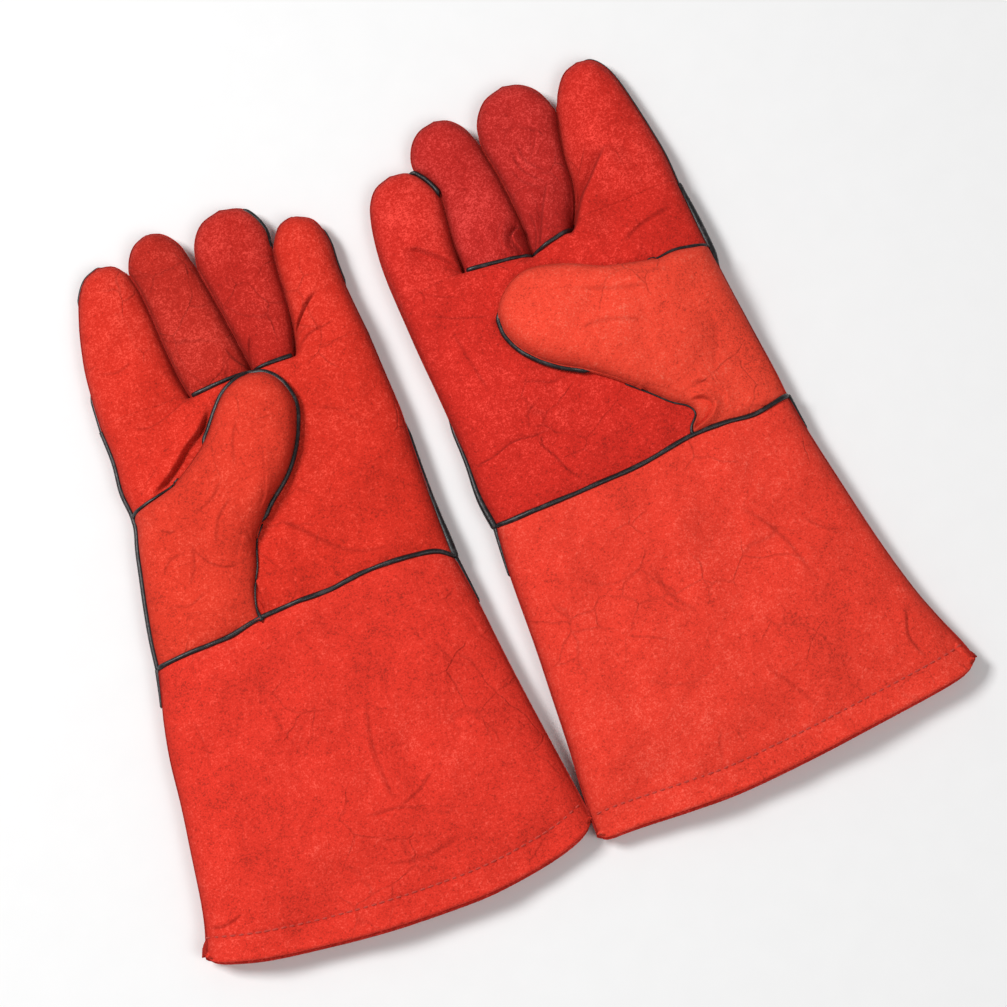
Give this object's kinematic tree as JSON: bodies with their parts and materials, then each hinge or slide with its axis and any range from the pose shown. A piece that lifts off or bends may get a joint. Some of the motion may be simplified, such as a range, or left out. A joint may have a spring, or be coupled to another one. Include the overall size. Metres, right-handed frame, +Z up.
{
  "type": "welding gloves",
  "caption": "Pair of gauntlet welding gloves in split leather, laid palms up, with welted seams, thumbs folded over the palms and flared open cuffs.",
  "frame": {"origin": "on the floor, under the centre of the pair's outline", "axes": "+Y from the cuffs towards the fingertips, +X from the left glove towards the right glove, +Z up out of the palms"},
  "size_m": [0.3954, 0.3784, 0.0407],
  "materials": {
    "palm_leather": "napped suede",
    "cuff_leather": "napped suede",
    "thumb_leather": "napped suede",
    "finger_front_leather": "napped suede",
    "back_leather": "napped suede",
    "welt": "satin black piping",
    "lining": "brushed cotton"
  },
  "bodies": {
    "left_hand": {"left_palm_panel": "palm_leather", "left_back_panel": "back_leather", "left_thenar_panel": "thumb_leather", "left_hand_lining": "lining", "left_wrist_welt": "welt", "left_gunn_seam_welt": "welt", "left_side_seam_welts": "welt"},
    "left_cuff": {"left_cuff_front": "cuff_leather", "left_cuff_back": "back_leather", "left_cuff_lining": "lining"},
    "left_index": {"left_index_front": "palm_leather", "left_index_back": "back_leather", "left_index_welt": "welt", "left_index_lining": "lining"},
    "left_middle": {"left_middle_front": "finger_front_leather", "left_middle_back": "back_leather", "left_middle_welt": "welt", "left_middle_lining": "lining"},
    "left_ring": {"left_ring_front": "finger_front_leather", "left_ring_back": "back_leather", "left_ring_welt": "welt", "left_ring_lining": "lining"},
    "left_little": {"left_little_front": "palm_leather", "left_little_back": "back_leather", "left_little_welt": "welt", "left_little_lining": "lining"},
    "left_thumb": {"left_thumb_front": "thumb_leather", "left_thumb_back": "back_leather", "left_thumb_welt": "welt", "left_thumb_lining": "lining"},
    "right_hand": {"right_palm_panel": "palm_leather", "right_back_panel": "back_leather", "right_thenar_panel": "thumb_leather", "right_hand_lining": "lining", "right_wrist_welt": "welt", "right_gunn_seam_welt": "welt", "right_side_seam_welts": "welt"},
    "right_cuff": {"right_cuff_front": "cuff_leather", "right_cuff_back": "back_leather", "right_cuff_lining": "lining"},
    "right_index": {"right_index_front": "palm_leather", "right_index_back": "back_leather", "right_index_welt": "welt", "right_index_lining": "lining"},
    "right_middle": {"right_middle_front": "finger_front_leather", "right_middle_back": "back_leather", "right_middle_welt": "welt", "right_middle_lining": "lining"},
    "right_ring": {"right_ring_front": "finger_front_leather", "right_ring_back": "back_leather", "right_ring_welt": "welt", "right_ring_lining": "lining"},
    "right_little": {"right_little_front": "palm_leather", "right_little_back": "back_leather", "right_little_welt": "welt", "right_little_lining": "lining"},
    "right_thumb": {"right_thumb_front": "thumb_leather", "right_thumb_back": "back_leather", "right_thumb_welt": "welt", "right_thumb_lining": "lining"}
  },
  "joints": [
    {"name": "right_glove_slide", "type": "slide", "parent": "left_hand", "child": "right_hand", "axis": [1, 0, 0], "range_m": [0, 0.25]},
    {"name": "left_wrist_flex", "type": "hinge", "parent": "left_hand", "child": "left_cuff", "pos_m": [-0.09399, -0.02671, 0.0219], "axis": [-0.9996, 0.0297, 0], "range_deg": [0, 60]},
    {"name": "left_thumb_lift", "type": "hinge", "parent": "left_hand", "child": "left_thumb", "pos_m": [-0.11587, 0.03723, 0.0413], "axis": [0.7096, -0.7046, 0], "range_deg": [0, 80]},
    {"name": "left_index_flex", "type": "hinge", "parent": "left_hand", "child": "left_index", "pos_m": [-0.13065, 0.10019, 0.0209], "axis": [0.9996, -0.0297, 0], "range_deg": [0, 80]},
    {"name": "left_middle_flex", "type": "hinge", "parent": "left_hand", "child": "left_middle", "pos_m": [-0.09086, 0.099, 0.0209], "axis": [0.9996, -0.0297, 0], "range_deg": [0, 80]},
    {"name": "left_ring_flex", "type": "hinge", "parent": "left_hand", "child": "left_ring", "pos_m": [-0.06107, 0.09812, 0.0209], "axis": [0.9996, -0.0297, 0], "range_deg": [0, 80]},
    {"name": "left_little_flex", "type": "hinge", "parent": "left_hand", "child": "left_little", "pos_m": [-0.02809, 0.09714, 0.0209], "axis": [0.9996, -0.0297, 0], "range_deg": [0, 80]},
    {"name": "right_wrist_flex", "type": "hinge", "parent": "right_hand", "child": "right_cuff", "pos_m": [0.0893, -0.02071, 0.0219], "axis": [-0.9996, -0.0297, 0], "range_deg": [0, 60]},
    {"name": "right_thumb_lift", "type": "hinge", "parent": "right_hand", "child": "right_thumb", "pos_m": [0.11917, 0.04087, 0.0413], "axis": [0.4308, 0.9025, 0], "range_deg": [0, 80]},
    {"name": "right_index_flex", "type": "hinge", "parent": "right_hand", "child": "right_index", "pos_m": [0.13674, 0.10651, 0.0209], "axis": [0.9996, 0.0297, 0], "range_deg": [0, 80]},
    {"name": "right_middle_flex", "type": "hinge", "parent": "right_hand", "child": "right_middle", "pos_m": [0.09376, 0.10523, 0.0209], "axis": [0.9996, 0.0297, 0], "range_deg": [0, 80]},
    {"name": "right_ring_flex", "type": "hinge", "parent": "right_hand", "child": "right_ring", "pos_m": [0.06158, 0.10428, 0.0209], "axis": [0.9996, 0.0297, 0], "range_deg": [0, 80]},
    {"name": "right_little_flex", "type": "hinge", "parent": "right_hand", "child": "right_little", "pos_m": [0.02529, 0.1032, 0.0209], "axis": [0.9996, 0.0297, 0], "range_deg": [0, 80]}
  ]
}
